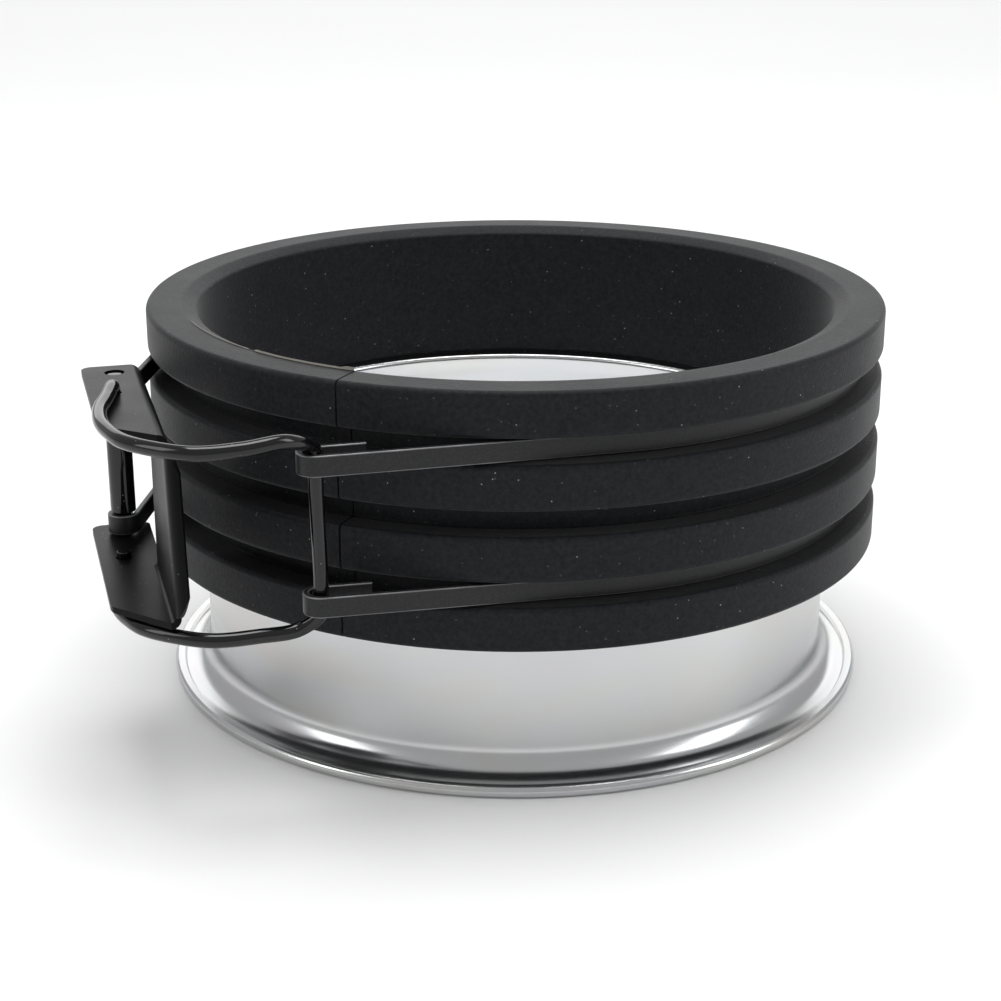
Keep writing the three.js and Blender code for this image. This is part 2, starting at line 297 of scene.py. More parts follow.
def flatten_shading(piece):
    """Normals weighted by area, so that flat faces shade flat beside their rounded edges."""
    modifier = piece.modifiers.new("flat_faces", "WEIGHTED_NORMAL")
    modifier.keep_sharp = True
    apply_modifiers(piece)


def ease_edges(piece, width, segments=3, angle=40):
    modifier = piece.modifiers.new("eased", "BEVEL")
    modifier.width = width * MM
    modifier.segments = segments
    modifier.limit_method = "ANGLE"
    modifier.angle_limit = angle * DEG
    modifier.use_clamp_overlap = True
    apply_modifiers(piece)
    smooth_by_angle(piece.data, 50)
    flatten_shading(piece)


# ---------------------------------------------------------------- materials

def new_material(name):
    material = bpy.data.materials.new(name)
    material.use_nodes = True
    nodes = material.node_tree.nodes
    return material, nodes, material.node_tree.links, nodes["Principled BSDF"]


def add(nodes, kind, **values):
    """A node with its properties set by name."""
    node = nodes.new(kind)
    for key, value in values.items():
        setattr(node, key, value)
    return node


def ramp(nodes, stops):
    node = nodes.new("ShaderNodeValToRGB")
    elements = node.color_ramp.elements
    while len(elements) < len(stops):
        elements.new(0.5)
    for element, (place, value) in zip(elements, stops):
        element.position = place
        element.color = value if isinstance(value, tuple) else (value, value, value, 1)
    return node


def axis_coordinates(nodes, links):
    """(turn about the collar's axis, distance from it, height), in radians and metres, as one vector."""
    place = nodes.new("ShaderNodeTexCoord")
    shift = add(nodes, "ShaderNodeVectorMath", operation="SUBTRACT")
    shift.inputs[1].default_value = (AXIS[0] * MM, AXIS[1] * MM, 0)
    links.new(place.outputs["Object"], shift.inputs[0])
    split = nodes.new("ShaderNodeSeparateXYZ")
    links.new(shift.outputs[0], split.inputs[0])
    turn = add(nodes, "ShaderNodeMath", operation="ARCTAN2")
    links.new(split.outputs["Y"], turn.inputs[0])
    links.new(split.outputs["X"], turn.inputs[1])
    flat = add(nodes, "ShaderNodeVectorMath", operation="MULTIPLY")
    flat.inputs[1].default_value = (1, 1, 0)
    links.new(shift.outputs[0], flat.inputs[0])
    distance = add(nodes, "ShaderNodeVectorMath", operation="LENGTH")
    links.new(flat.outputs[0], distance.inputs[0])
    joined = nodes.new("ShaderNodeCombineXYZ")
    links.new(turn.outputs[0], joined.inputs["X"])
    links.new(distance.outputs["Value"], joined.inputs["Y"])
    links.new(split.outputs["Z"], joined.inputs["Z"])
    return joined.outputs[0]


def scaled(nodes, links, vector, scale):
    node = add(nodes, "ShaderNodeVectorMath", operation="MULTIPLY")
    node.inputs[1].default_value = scale
    links.new(vector, node.inputs[0])
    return node.outputs[0]


def noise_node(nodes, links, vector, scale, detail=4.0, rough=0.55):
    node = nodes.new("ShaderNodeTexNoise")
    node.inputs["Scale"].default_value = scale
    node.inputs["Detail"].default_value = detail
    node.inputs["Roughness"].default_value = rough
    links.new(vector, node.inputs["Vector"])
    return node.outputs["Fac"]


def mix_value(nodes, links, factor, low, high):
    """A number that goes from low to high with factor."""
    node = nodes.new("ShaderNodeMapRange")
    node.inputs["To Min"].default_value = low
    node.inputs["To Max"].default_value = high
    links.new(factor, node.inputs["Value"])
    return node.outputs[0]


def mix_colour(nodes, links, factor, low, high):
    node = nodes.new("ShaderNodeMix")
    node.data_type = "RGBA"
    links.new(factor, node.inputs["Factor"])
    for socket, value in ((node.inputs[6], low), (node.inputs[7], high)):
        if isinstance(value, tuple):
            socket.default_value = value
        else:
            links.new(value, socket)
    return node.outputs[2]


def bump(nodes, links, height, strength, distance, normal=None):
    node = nodes.new("ShaderNodeBump")
    node.inputs["Strength"].default_value = strength
    node.inputs["Distance"].default_value = distance
    links.new(height, node.inputs["Height"])
    if normal:
        links.new(normal, node.inputs["Normal"])
    return node.outputs["Normal"]


def dust_mask(nodes, links, vector, scale, size, share):
    """Small scattered specks round cell centres, in the share of cells whose random value is highest."""
    cells = nodes.new("ShaderNodeTexVoronoi")
    cells.inputs["Scale"].default_value = scale
    links.new(vector, cells.inputs["Vector"])
    near = ramp(nodes, [(size * 0.6, 1.0), (size, 0.0)])
    links.new(cells.outputs["Distance"], near.inputs["Fac"])
    picked = nodes.new("ShaderNodeSeparateColor")
    links.new(cells.outputs["Color"], picked.inputs[0])
    keep = add(nodes, "ShaderNodeMath", operation="GREATER_THAN")
    keep.inputs[1].default_value = 1 - share
    links.new(picked.outputs[0], keep.inputs[0])
    both = add(nodes, "ShaderNodeMath", operation="MULTIPLY")
    links.new(near.outputs["Color"], both.inputs[0])
    links.new(keep.outputs[0], both.inputs[1])
    return both.outputs[0]


def rubber_material():
    """Matte moulded rubber: fine grain, handling marks, faint mould rings, a little dust, and a painted
    highlight: the flash painted pale.
    """
    material, nodes, links, shader = new_material("moulded_rubber")
    place = nodes.new("ShaderNodeTexCoord").outputs["Object"]
    around = axis_coordinates(nodes, links)
    smudge = noise_node(nodes, links, scaled(nodes, links, around, (2.2, 60, 60)), 2.4, 5)
    grain = noise_node(nodes, links, place, 2300, 3, 0.65)
    rings = noise_node(nodes, links, scaled(nodes, links, around, (0.6, 900, 900)), 1.0, 3)
    specks = dust_mask(nodes, links, place, 620, 0.075, 0.3)
    lint = dust_mask(nodes, links, place, 1100, 0.2, 0.12)
    tint = mix_colour(nodes, links, smudge, (0.0026, 0.0031, 0.0044, 1), (0.0056, 0.0062, 0.0080, 1))
    mottle = ramp(nodes, [(0.35, 0.0), (0.7, 1.0)])
    links.new(noise_node(nodes, links, place, 1500, 3, 0.7), mottle.inputs["Fac"])
    tint = mix_colour(nodes, links, mottle.outputs["Color"], tint, (0.0145, 0.0155, 0.0175, 1))
    dust_and_flash_highlight = mix_colour(nodes, links, specks, tint, (0.3, 0.31, 0.32, 1))
    dust_and_flash_highlight = mix_colour(nodes, links, lint, dust_and_flash_highlight, (0.05, 0.052, 0.055, 1))
    # Painted highlight: the flash standing above the collar's top is painted pale, for the bright line along
    # the bore's rim.
    height = nodes.new("ShaderNodeSeparateXYZ")
    links.new(around, height.inputs[0])
    flash_highlight_mask = add(nodes, "ShaderNodeMath", operation="GREATER_THAN")
    flash_highlight_mask.inputs[1].default_value = (COLLAR_TOP + FLASH_HIGHLIGHT_ABOVE) * MM
    links.new(height.outputs["Z"], flash_highlight_mask.inputs[0])
    dust_and_flash_highlight = mix_colour(nodes, links, flash_highlight_mask.outputs[0], dust_and_flash_highlight, (0.26, 0.245, 0.22, 1))
    links.new(dust_and_flash_highlight, shader.inputs["Base Color"])
    links.new(mix_value(nodes, links, smudge, 0.5, 0.68), shader.inputs["Roughness"])
    fine = bump(nodes, links, grain, 0.55, 0.00012)
    links.new(bump(nodes, links, rings, 0.25, 0.00008, fine), shader.inputs["Normal"])
    shader.inputs["Specular IOR Level"].default_value = 0.18
    shader.inputs["Sheen Weight"].default_value = 0.16
    shader.inputs["Sheen Roughness"].default_value = 0.35
    return material


def aluminium_material():
    """Bright spun aluminium: fine turning lines round the axis, a soft haze and a few faint rubs."""
    material, nodes, links, shader = new_material("spun_aluminium")
    around = axis_coordinates(nodes, links)
    lines = noise_node(nodes, links, scaled(nodes, links, around, (0.35, 9000, 9000)), 1.0, 3, 0.6)
    bands = noise_node(nodes, links, scaled(nodes, links, around, (0.8, 420, 420)), 1.0, 3)
    haze = noise_node(nodes, links, scaled(nodes, links, around, (3.0, 40, 40)), 2.0, 4)
    colour = mix_colour(nodes, links, haze, (0.55, 0.555, 0.565, 1), (0.61, 0.61, 0.612, 1))
    sheen = ramp(nodes, [(0.3, (0.585, 0.56, 0.54, 1)), (0.45, (0.57, 0.585, 0.56, 1)),
                         (0.6, (0.55, 0.575, 0.6, 1)), (0.75, (0.585, 0.56, 0.585, 1))])
    cast = noise_node(nodes, links, scaled(nodes, links, around, (1.6, 90, 90)), 1.4, 1)
    links.new(cast, sheen.inputs["Fac"])
    blend = add(nodes, "ShaderNodeMix", data_type="RGBA")
    blend.inputs["Factor"].default_value = 0.5
    links.new(colour, blend.inputs[6])
    links.new(sheen.outputs["Color"], blend.inputs[7])
    colour = blend.outputs[2]
    links.new(colour, shader.inputs["Base Color"])
    rough = mix_value(nodes, links, bands, 0.13, 0.3)
    links.new(rough, shader.inputs["Roughness"])
    fine = bump(nodes, links, lines, 0.16, 0.00003)
    links.new(bump(nodes, links, bands, 0.1, 0.0001, fine), shader.inputs["Normal"])
    tangent = nodes.new("ShaderNodeTangent")
    tangent.direction_type = "RADIAL"
    tangent.axis = "Z"
    links.new(tangent.outputs[0], shader.inputs["Tangent"])
    shader.inputs["Metallic"].default_value = 1.0
    shader.inputs["Anisotropic"].default_value = 0.55
    return material


def enamel_material(name, roughness, specular):
    """Glossy black enamel on steel: a faint orange peel, specks of dust and duller handling marks."""
    material, nodes, links, shader = new_material(name)
    place = nodes.new("ShaderNodeTexCoord").outputs["Object"]
    peel = noise_node(nodes, links, place, 900, 2)
    smudge = noise_node(nodes, links, place, 120, 4)
    specks = dust_mask(nodes, links, place, 1100, 0.1, 0.25)
    colour = mix_colour(nodes, links, smudge, (0.0022, 0.0023, 0.0027, 1), (0.0042, 0.0043, 0.0047, 1))
    links.new(mix_colour(nodes, links, specks, colour, (0.3, 0.3, 0.31, 1)), shader.inputs["Base Color"])
    links.new(mix_value(nodes, links, smudge, *roughness), shader.inputs["Roughness"])
    links.new(bump(nodes, links, peel, 0.05, 0.00005), shader.inputs["Normal"])
    shader.inputs["Specular IOR Level"].default_value = specular
    return material


def strap_material():
    """Semi-gloss black strip steel: drawn lines along the strip, and a thinned finish on the edges painted
    pale, which is also a painted highlight along them.
    """
    material, nodes, links, shader = new_material("black_strip_steel")
    place = nodes.new("ShaderNodeTexCoord").outputs["Object"]
    around = axis_coordinates(nodes, links)
    drawn = noise_node(nodes, links, scaled(nodes, links, around, (1.2, 3000, 3000)), 1.0, 3)
    patch = noise_node(nodes, links, place, 260, 4)
    grain = noise_node(nodes, links, place, 3800, 2)
    # Edge marks: a thinned finish on the edges, painted pale and more metallic, which is also a painted
    # highlight along them.
    edge = add(nodes, "ShaderNodeAttribute", attribute_name="wear_and_highlight").outputs["Fac"]
    worn_lit_edges = add(nodes, "ShaderNodeMath", operation="MULTIPLY")
    links.new(edge, worn_lit_edges.inputs[0])
    patchy = ramp(nodes, [(0.35, 0.45), (0.65, 0.8)])
    links.new(patch, patchy.inputs["Fac"])
    links.new(patchy.outputs["Color"], worn_lit_edges.inputs[1])
    specks = dust_mask(nodes, links, place, 700, 0.09, 0.06)
    base = mix_colour(nodes, links, patch, (0.0065, 0.0068, 0.0076, 1), (0.0105, 0.0108, 0.0118, 1))
    pitted = ramp(nodes, [(0.45, 0.0), (0.75, 1.0)])
    links.new(grain, pitted.inputs["Fac"])
    base = mix_colour(nodes, links, pitted.outputs["Color"], base, (0.02, 0.0205, 0.022, 1))
    rubbed_lit_edges = mix_colour(nodes, links, worn_lit_edges.outputs[0], base, (0.3, 0.3, 0.31, 1))
    links.new(mix_colour(nodes, links, specks, rubbed_lit_edges, (0.22, 0.22, 0.22, 1)), shader.inputs["Base Color"])
    links.new(mix_value(nodes, links, patch, 0.36, 0.42), shader.inputs["Roughness"])
    links.new(mix_value(nodes, links, worn_lit_edges.outputs[0], 0.0, 0.8), shader.inputs["Metallic"])
    fine = bump(nodes, links, grain, 0.12, 0.00003)
    links.new(bump(nodes, links, drawn, 0.12, 0.00003, fine), shader.inputs["Normal"])
    shader.inputs["Specular IOR Level"].default_value = 0.34
    return material


def floor_material():
    """Pale paper sweep with the slightest tone variation."""
    material, nodes, links, shader = new_material("pale_paper")
    place = nodes.new("ShaderNodeTexCoord").outputs["Object"]
    tone = noise_node(nodes, links, place, 3, 3)
    links.new(mix_colour(nodes, links, tone, (0.86, 0.86, 0.865, 1), (0.9, 0.9, 0.9, 1)),
              shader.inputs["Base Color"])
    shader.inputs["Roughness"].default_value = 0.6
    return material


def finish_with(piece, material):
    piece.data.materials.clear()
    piece.data.materials.append(material)


# ---------------------------------------------------------------- spun ring

def ring_outline():
    """Section of the ring: beaded rim, straight wall, filleted bend and a flange with a rolled edge."""
    inner = RING_OUTER_R - RING_WALL
    bead_x = inner + RING_BEAD_R - RING_BEAD_OVERLAP
    bead_z = RING_HEIGHT - RING_BEAD_R
    bend = (RING_OUTER_R + FLANGE_FILLET, RING_WALL + FLANGE_FILLET)
    outline = [(inner, RING_HEIGHT - 4 * RING_BEAD_R)]
    outline += [(inner, bend[1] + WALL_STEP), (inner, bend[1])]
    outline += arc(*bend, FLANGE_FILLET + RING_WALL, 180, 270, 16)[1:]
    outline += arc(FLANGE_R - FLANGE_BEAD_R, FLANGE_BEAD_R, FLANGE_BEAD_R, -90, 62, 18)
    outline += arc(FLANGE_R - FLANGE_CREASE_IN, RING_WALL + FLANGE_BEAD_R, FLANGE_CREASE_R, 242, 262, 3)
    outline += arc(*bend, FLANGE_FILLET, 268, 180, 18)
    outline += [(RING_OUTER_R, bend[1] + WALL_STEP), (RING_OUTER_R, RING_HEIGHT - 2.2 * RING_BEAD_R)]
    outline += arc(bead_x, bead_z, RING_BEAD_R, 20, 200, 18)
    return outline


def build_ring():
    ring = turned("spun_ring", ring_outline(), RING_SEGMENTS)
    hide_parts("flange_ring")
    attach(ring, "collar")
    finish_with(ring, aluminium_material())


# ---------------------------------------------------------------- rubber collar

def collar_outline():
    """Section of the rubber: ribs with eased edges, grooves with soft corners, bevelled rim and a ring seat."""
    edge_r, root_r = RIB_EDGE_R, GROOVE_ROOT_R
    points = []
    for i in range(RIB_COUNT):
        top = COLLAR_TOP - i * PITCH
        bottom = top - RIB_HEIGHT
        if i > 0:
            points += arc(GROOVE_R + root_r, top + root_r, root_r, 180, 270, 4)
        points += arc(COLLAR_R - edge_r, top - edge_r, edge_r, 90, 0, 7)
        points += [(COLLAR_R, (top + bottom) / 2)]
        points += arc(COLLAR_R - edge_r, bottom + edge_r, edge_r, 0, -90, 7)
        if i < RIB_COUNT - 1:
            points += arc(GROOVE_R + root_r, bottom - root_r, root_r, 90, 180, 4)
    shoulder = RING_HEIGHT + SEAT_CLEARANCE
    points += arc(COLLAR_SEAT_R + SEAT_EDGE_R, COLLAR_BOTTOM + SEAT_EDGE_R, SEAT_EDGE_R, 270, 180, 5)
    points += [(COLLAR_SEAT_R, shoulder), (COLLAR_BORE_R, shoulder + SEAT_CLEARANCE)]
    points += [(COLLAR_BORE_R, (shoulder + COLLAR_TOP) / 2)]
    points += [(COLLAR_BORE_R, COLLAR_TOP - COLLAR_BEVEL_DROP - 0.35)]
    points += [(COLLAR_BORE_R + 0.08, COLLAR_TOP - COLLAR_BEVEL_DROP - 0.12)]
    points += [(COLLAR_BORE_R + 0.35, COLLAR_TOP - COLLAR_BEVEL_DROP + 0.12)]
    points += [(COLLAR_BEVEL_R - 0.5, COLLAR_TOP - 0.17), (COLLAR_BEVEL_R - 0.16, COLLAR_TOP - 0.06)]
    points += [(COLLAR_BEVEL_R, COLLAR_TOP - 0.03), (COLLAR_BEVEL_R + 0.16, COLLAR_TOP - 0.01)]
    points += [(COLLAR_BEVEL_R + 0.5, COLLAR_TOP)]
    return points


def flash_height(x, y, z):
    """Height of the thin moulding flash left along the bore's rim on one side of the slit."""
    r, azimuth = math.hypot(x, y), math.atan2(y, x) / DEG
    on_rim = abs(r - COLLAR_BEVEL_R) <= 0.1 and z >= COLLAR_TOP - 0.1
    if not on_rim or not FLASH_FROM < azimuth < SLIT_AZIMUTH or abs(azimuth - FLASH_NICK) < 0.7:
        return 0
    height = FLASH_RISE if azimuth > FLASH_NICK else 0.6 * FLASH_RISE
    lip = FLASH_LIP if SLIT_AZIMUTH - azimuth < 1.5 else 0
    return height + lip + 0.06 * noise.noise(Vector((azimuth * 1.3, 0, 0)))


def rubber_wobble(x, y, z):
    """The slight unevenness of a soft moulding."""
    z += flash_height(x, y, z)
    ripple = noise.noise(Vector((x * 0.035, y * 0.035, z * 0.11)))
    fine = noise.noise(Vector((x * 0.12, y * 0.12, z * 0.3 + 9)))
    shift = 1 - (0.5 + 0.5 * (ripple * 0.16 + fine * 0.05)) * 0.0022
    return x * shift, y * shift, z


def build_collar():
    half_gap = SLIT_WIDTH / 2 / COLLAR_R / DEG
    sweep = 360 - 2 * half_gap - 0.0001
    start = SLIT_AZIMUTH + half_gap
    collar = turned("ribbed_collar", collar_outline(), COLLAR_SEGMENTS, start, sweep, rubber_wobble)
    flatten_shading(collar)
    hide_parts("rubber_collar")
    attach(collar, "collar")
    finish_with(collar, rubber_material())


# ---------------------------------------------------------------- straps

def run_length(run):
    """Length of a free run, from where it leaves the groove to where its hook starts."""
    sine, cosine = math.sin(run["angle"] * DEG), math.cos(run["angle"] * DEG)
    return ((STRAP_R - HOOK_R) * sine - run["bar_x"]) / cosine


def hook_centre(run):
    """Centre of a strap's hook, where the bail's bar sits."""
    start = polar(STRAP_R, run["angle"] - 90)
    end = plus(start, polar(run_length(run), 180 + run["angle"]))
    return plus(end, polar(HOOK_R, 90 + run["angle"]))


def strap_line(run):
    """Plan of a whole strap: eye round the pin, round the groove, free run, hook and tail."""
    eye_r = PIN_BORE_R + STRAP_THICK / 2
    reach = math.hypot(*HINGE)
    leave = math.atan2(HINGE[1], HINGE[0]) / DEG + 360 - math.acos((STRAP_R + eye_r) / reach) / DEG
    centre = hook_centre(run)
    eye = arc(*HINGE, eye_r, leave + 180 - EYE_WRAP, leave + 180, 40)
    groove = arc(0, 0, STRAP_R, leave, run["angle"] - 90, 220)
    straight = [plus(groove[-1], polar(run_length(run) * i / 30, 180 + run["angle"])) for i in range(1, 30)]
    bend = arc(*centre, HOOK_R, 270 + run["angle"], 90 + run["angle"], 24)
    tail = [plus(bend[-1], polar(HOOK_TAIL * i / 6, run["angle"])) for i in range(1, 7)]
    joint = [((eye[-1][0] * (6 - i) + groove[0][0] * i) / 6, (eye[-1][1] * (6 - i) + groove[0][1] * i) / 6)
             for i in range(1, 6)]
    return eye + joint + groove + straight + bend + tail


def build_strap(name, run, middle, material, nodes_replaced):
    """One whole strap, from its eye round the groove and out along its free run; only its edges are marked,
    painted pale for their thinned finish and as a painted highlight.
    """
    steps = 4
    section = rounded_box_section(STRAP_THICK / 2, STRAP_HEIGHT / 2, STRAP_EDGE_R, steps)
    # Edge marks, for a thinned finish and a painted highlight along the edges.
    wear_and_highlight = [1.0 if 0 < k % (steps + 1) < steps else 0.0 for k in range(len(section))]
    path = [(x, y, middle) for x, y in strap_line(run)]
    strap = sweep_section(name, path, section, up=(0, 0, 1), edge_wear_and_highlight=wear_and_highlight)
    flatten_shading(strap)
    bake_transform(strap)
    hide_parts(*nodes_replaced)
    finish_with(strap, material)


# ---------------------------------------------------------------- latch

def lever_to_axis(point):
    """A point in the lever's own plan, taken to the collar's axis frame."""
    c, s = math.cos(LEVER_AZIMUTH * DEG), math.sin(LEVER_AZIMUTH * DEG)
    return (HINGE[0] + c * point[0] - s * point[1], HINGE[1] + s * point[0] + c * point[1])


def build_pin(material):
    low, high = FLANGE_LOW_Z + PIN_INSET, FLANGE_TOP_Z - PIN_INSET
    ease = PIN_EDGE_R
    outline = [(0.0, low)] + arc(PIN_R - ease, low + ease, ease, -90, 0, 5)
    outline += arc(PIN_R - ease, high - ease, ease, 0, 90, 5) + [(0.0, high)]
    pin = placed_turning("pivot_pin", outline, 40)
    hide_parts("hinge_pin")
    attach(pin, "collar")
    finish_with(pin, material)


def build_sleeve(material):
    low = LOWER_STRAP_Z + STRAP_HEIGHT / 2 + STACK_GAP
    high = UPPER_STRAP_Z - STRAP_HEIGHT / 2 - STACK_GAP
    ease = SLEEVE_EDGE_R
    outline = arc(SLEEVE_R - ease, low + ease, ease, -90, 0, 4)
    outline += arc(SLEEVE_R - ease, high - ease, ease, 0, 90, 4)
    outline += arc(PIN_BORE_R + ease, high - ease, ease, 90, 180, 4)
    outline += arc(PIN_BORE_R + ease, low + ease, ease, 180, 270, 4)
    sleeve = placed_turning("pivot_sleeve", outline, 48)
    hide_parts("hinge_sleeve")
    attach(sleeve, "collar")
    finish_with(sleeve, material)


def placed_turning(name, outline, segments):
    """A turned body about the hinge's axis."""
    bm = bmesh.new()
    rings = []
    for i in range(segments):
        ring = []
        for r, z in outline:
            x, y = plus(polar(r, 360 * i / segments), HINGE)
            ring.append(bm.verts.new((x, y, z)))
        rings.append(ring)
    count = len(outline)
    for i in range(segments):
        a, b = rings[i], rings[(i + 1) % segments]
        for j in range(count):
            k = (j + 1) % count
            if outline[j][0] == 0 and outline[k][0] == 0:
                continue
            if outline[j][0] == 0:
                bm.faces.new((a[j], a[k], b[k]))
            elif outline[k][0] == 0:
                bm.faces.new((a[j], a[k], b[j]))
            else:
                bm.faces.new((a[j], a[k], b[k], b[j]))
    return make_object(name, bm)


def channel_outline():
    """Lever section: (depth, height) points of a channel with rounded bends."""
    bend_y = LEVER_WEB_Y - LEVER_BEND_R
    inner_r = LEVER_BEND_R - SHEET
    low, high = FLANGE_LOW_Z, FLANGE_TOP_Z
    points = [(LEVER_EDGE_Y, low)]
    points += arc(bend_y, low + LEVER_BEND_R, LEVER_BEND_R, -90, 0, 10)
    points += arc(bend_y, high - LEVER_BEND_R, LEVER_BEND_R, 0, 90, 10)
    points += [(LEVER_EDGE_Y, high), (LEVER_EDGE_Y, high - SHEET)]
    points += arc(bend_y, high - LEVER_BEND_R, inner_r, 90, 0, 6)
    points += arc(bend_y, low + LEVER_BEND_R, inner_r, 0, -90, 6)
    points += [(LEVER_EDGE_Y, low + SHEET)]
    return points


def lever_plan():
    """Plan of the lever's flanges: round corners at the hinge end and a slanted cut towards the tip."""
    corner = LEVER_CORNER_R
    points = arc(LEVER_BACK + corner, LEVER_EDGE_Y + corner, corner, 180, 270, 10)
    points += [plus((LEVER_TAPER_START, LEVER_EDGE_Y), step) for step in [(0, 0)] + LEVER_TAPER_EASE]
    points += [(LEVER_TIP, LEVER_WEB_Y - LEVER_BEND_R), (LEVER_TIP, LEVER_WEB_Y)]
    points += arc(LEVER_BACK + corner, LEVER_WEB_Y - corner, corner, 90, 180, 10)
    return points


def lever_prism(name, outline, low, high):
    """A prism in the lever's own plan."""
    return extruded(name, [lever_to_axis(p) for p in outline], low, high)


def lip_body():
    """The finger lip: the web's end turned outwards, its corners rounded off towards its free edge."""
    start_y = LEVER_WEB_Y - SHEET / 2
    line = [(LEVER_TIP - 0.5, start_y)] + arc(LEVER_TIP, start_y + LIP_R, LIP_R, -90, -90 + LIP_TURN, 16)
    bm = bmesh.new()
    rows = []
    for i, point in enumerate(line):
        before, after = line[max(i - 1, 0)], line[min(i + 1, len(line) - 1)]
        along = Vector((after[0] - before[0], after[1] - before[1])).normalized()
        side = (-along.y * SHEET / 2, along.x * SHEET / 2)
        inset = LIP_INSET + LIP_CORNER * (i / (len(line) - 1)) ** 2.5
        low, high = FLANGE_LOW_Z + inset, FLANGE_TOP_Z - inset
        inner = lever_to_axis(plus(point, side))
        outer = lever_to_axis((point[0] - side[0], point[1] - side[1]))
        corners = ((inner, low), (outer, low), (outer, high), (inner, high))
        rows.append([bm.verts.new((*p, z)) for p, z in corners])
    for a, b in zip(rows, rows[1:]):
        for j in range(4):
            k = (j + 1) % 4
            bm.faces.new((a[j], a[k], b[k], b[j]))
    bm.faces.new(rows[0])
    bm.faces.new(reversed(rows[-1]))
    return make_object("lip", bm)


def channel_body():
    """The lever's channel section drawn out along the lever's length."""
    bm = bmesh.new()
    ends = []
    for x in (LEVER_BACK - 1, LEVER_TIP):
        ends.append([bm.verts.new((*lever_to_axis((x, y)), z)) for y, z in channel_outline()])
    count = len(ends[0])
    for j in range(count):
        k = (j + 1) % count
        bm.faces.new((ends[0][j], ends[0][k], ends[1][k], ends[1][j]))
    bm.faces.new(ends[0])
    bm.faces.new(reversed(ends[1]))
    return make_object("finger_lever", bm)


def lean_tip(piece):
    """The tip's slanted cut: longer at the lower flange than at the upper one."""
    middle = (FLANGE_TOP_Z + FLANGE_LOW_Z) / 2
    half = (FLANGE_TOP_Z - FLANGE_LOW_Z) / 2
    way = Vector((*polar(1, LEVER_AZIMUTH), 0))
    base = Vector((HINGE[0] + AXIS[0], HINGE[1] + AXIS[1], 0))
    for vert in piece.data.vertices:
        x = (vert.co / MM - base).dot(way)
        share = max(0, (x - LEVER_WEB_START) / (LEVER_TIP - LEVER_WEB_START))
        vert.co -= way * (TIP_LEAN * share * (vert.co.z / MM - middle) / half) * MM


def build_lever(material):
    lever = channel_body()
    combine(lever, lever_prism("plan", lever_plan(), FLANGE_LOW_Z - 1, FLANGE_TOP_Z + 1), "INTERSECT")
    back, front = LEVER_BACK - WINDOW_PAST, LEVER_WEB_START
    inside, outside = LEVER_WEB_Y - WINDOW_PAST, LEVER_WEB_Y + WINDOW_PAST
    window = [(back, inside), (front, inside), (front, outside), (back, outside)]
    combine(lever, lever_prism("window", window, FLANGE_LOW_Z + SHEET, FLANGE_TOP_Z - SHEET), "DIFFERENCE")
    for centre, r in (((0, 0), PIN_BORE_R), (BAIL_PIVOT, BAIL_HOLE_R)):
        hole = arc(*centre, r, 0, 360 - 360 / HOLE_SIDES, HOLE_SIDES - 1)
        combine(lever, lever_prism("hole", hole, FLANGE_LOW_Z - 1, FLANGE_TOP_Z + 1), "DIFFERENCE")
    combine(lever, lip_body(), "UNION")
    lean_tip(lever)
    ease_edges(lever, LEVER_EDGE_EASE)
    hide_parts("lever")
    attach(lever, "lever")
    finish_with(lever, material)


def bail_points():
    """The wire's centre line: hooked end, arm, bar, arm and hooked end."""
    pivot = lever_to_axis(BAIL_PIVOT)
    side = polar(WIRE_BEND, HOOK_END_TURN)
    dip = WIRE_BEND * (1 - math.sqrt(0.5))
    shoulder = (side[0] * dip / WIRE_BEND, side[1] * dip / WIRE_BEND)

    def half(sign, arm_z, end_z, run, bow):
        bar = hook_centre(run)
        points = [(*pivot, end_z), (*pivot, arm_z - sign * WIRE_BEND)]
        points += [(*plus(pivot, shoulder), arm_z - sign * dip), (*plus(pivot, side), arm_z)]
        points += [(pivot[0] + x, pivot[1] + y * bow, arm_z) for x, y in ARM_PLAN]
        return points + [(*bar, arm_z - sign * BAR_BEND * (i + 1)) for i in range(BAR_STRAIGHT)]

    upper = half(1, UPPER_ARM_Z, FLANGE_TOP_Z - HOOK_END_DEPTH, UPPER_RUN, UPPER_BOW)
    lower = half(-1, LOWER_ARM_Z, FLANGE_LOW_Z + HOOK_END_DEPTH, LOWER_RUN, LOWER_BOW)
    return [Vector(p) for p in upper + lower[::-1]]


def smooth_path(points, steps):
    """A centripetal Catmull-Rom curve through the points, as the wire is bent."""
    ends = [points[0] * 2 - points[1]] + points + [points[-1] * 2 - points[-2]]
    path = []
    for p0, p1, p2, p3 in zip(ends, ends[1:], ends[2:], ends[3:]):
        d01, d12, d23 = ((b - a).length ** 0.5 for a, b in ((p0, p1), (p1, p2), (p2, p3)))
        m1 = (p2 - p1) + ((p1 - p0) / d01 - (p2 - p0) / (d01 + d12)) * d12
        m2 = (p2 - p1) + ((p3 - p2) / d23 - (p3 - p1) / (d12 + d23)) * d12
        for i in range(steps):
            t = i / steps
            path.append((2 * t ** 3 - 3 * t * t + 1) * p1 + (t ** 3 - 2 * t * t + t) * m1
                        + (3 * t * t - 2 * t ** 3) * p2 + (t ** 3 - t * t) * m2)
    return path + [points[-1]]


def build_bail(material):
    section = arc(0, 0, WIRE_R, 0, 360 - 360 / WIRE_SIDES, WIRE_SIDES - 1)
    bail = sweep_section("wire_loop", smooth_path(bail_points(), WIRE_STEPS), section)
    ease_edges(bail, WIRE_END_EASE, angle=60)
    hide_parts("wire_bail")
    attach(bail, "bail")
    finish_with(bail, material)


# ---------------------------------------------------------------- stage

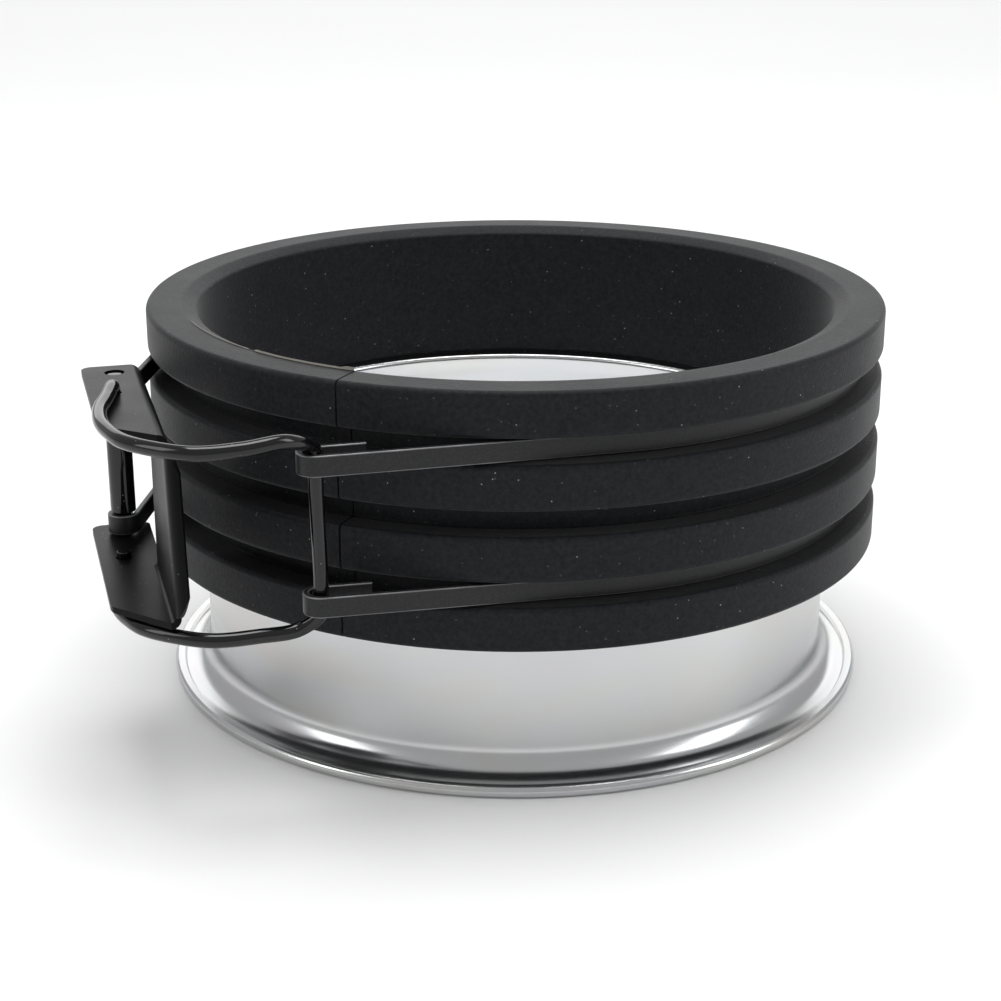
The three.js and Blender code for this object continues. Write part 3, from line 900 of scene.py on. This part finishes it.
def build_stage():
    bm = bmesh.new()
    bmesh.ops.create_grid(bm, x_segments=1, y_segments=1, size=6)
    mesh = bpy.data.meshes.new("floor")
    bm.to_mesh(mesh)
    bm.free()
    floor = bpy.data.objects.new("floor", mesh)
    bpy.context.scene.collection.objects.link(floor)
    mesh.materials.append(floor_material())


def area_light(name, at, aim, size, power):
    light = bpy.data.lights.new(name, "AREA")
    light.shape = "RECTANGLE"
    light.size, light.size_y = size
    light.energy = power
    lamp = bpy.data.objects.new(name, light)
    lamp.location = at
    lamp.rotation_euler = (Vector(aim) - Vector(at)).to_track_quat("-Z", "Y").to_euler()
    bpy.context.scene.collection.objects.link(lamp)


def build_lights():
    """Soft banks and an even sky; the camera sees the sky brighter, as a pale backdrop."""
    world = bpy.data.worlds.new("studio")
    world.use_nodes = True
    background = world.node_tree.nodes["Background"]
    background.inputs["Color"].default_value = (1, 1, 1, 1)
    background.inputs["Strength"].default_value = 0.5
    nodes, links = world.node_tree.nodes, world.node_tree.links
    backdrop = nodes.new("ShaderNodeBackground")
    seen = nodes.new("ShaderNodeLightPath")
    chosen = nodes.new("ShaderNodeMixShader")
    links.new(seen.outputs["Is Camera Ray"], chosen.inputs["Fac"])
    links.new(background.outputs[0], chosen.inputs[1])
    links.new(backdrop.outputs[0], chosen.inputs[2])
    links.new(chosen.outputs[0], nodes["World Output"].inputs["Surface"])
    scene = bpy.context.scene
    scene.world = world
    scene.view_settings.view_transform = "Standard"
    area_light("top_bank", (0, 0.1, 0.9), (0, 0, 0), (0.6, 0.45), 5.5)
    area_light("back_bank", (0, 1.4, 0.6), (0, 0, 0.05), (2.2, 0.8), 7)
    area_light("left_bank", (-0.8, -0.35, 0.55), (0, 0, 0.03), (0.3, 0.6), 1.6)
    area_light("right_bank", (0.85, -0.2, 0.5), (0, 0, 0.03), (0.3, 0.6), 2.2)


def bore_light():
    """A narrow soft light straight down the bore, which brightens the ring's inside."""
    light = bpy.data.lights.new("bore_light", "SPOT")
    light.energy = 20
    light.spot_size = 5.6 * DEG
    light.spot_blend = 0.3
    light.shadow_soft_size = 0.01
    lamp = bpy.data.objects.new("bore_light", light)
    lamp.location = (AXIS[0] * MM, AXIS[1] * MM, 0.9)
    bpy.context.scene.collection.objects.link(lamp)


def build_camera():
    camera = bpy.data.objects.new("camera", bpy.data.cameras.new("camera"))
    camera.data.lens = CAMERA_LENS
    camera.data.sensor_width = 36
    camera.location = [v * MM for v in CAMERA_AT]
    camera.rotation_euler = ((90 - CAMERA_PITCH) * DEG, 0, 0)
    bpy.context.scene.collection.objects.link(camera)
    bpy.context.scene.camera = camera


build_camera()
build_ring()
build_collar()
strip_steel = strap_material()
build_strap("upper_band", UPPER_RUN, UPPER_STRAP_Z, strip_steel, ("upper_strap", "upper_strap_end"))
build_strap("lower_band", LOWER_RUN, LOWER_STRAP_Z, strip_steel, ("lower_strap", "lower_strap_end"))
wire_enamel = enamel_material("wire_enamel", (0.05, 0.16), 0.45)
build_pin(wire_enamel)
build_sleeve(wire_enamel)
build_lever(enamel_material("lever_enamel", (0.28, 0.42), 0.1))
build_bail(wire_enamel)
build_stage()
build_lights()
bore_light()
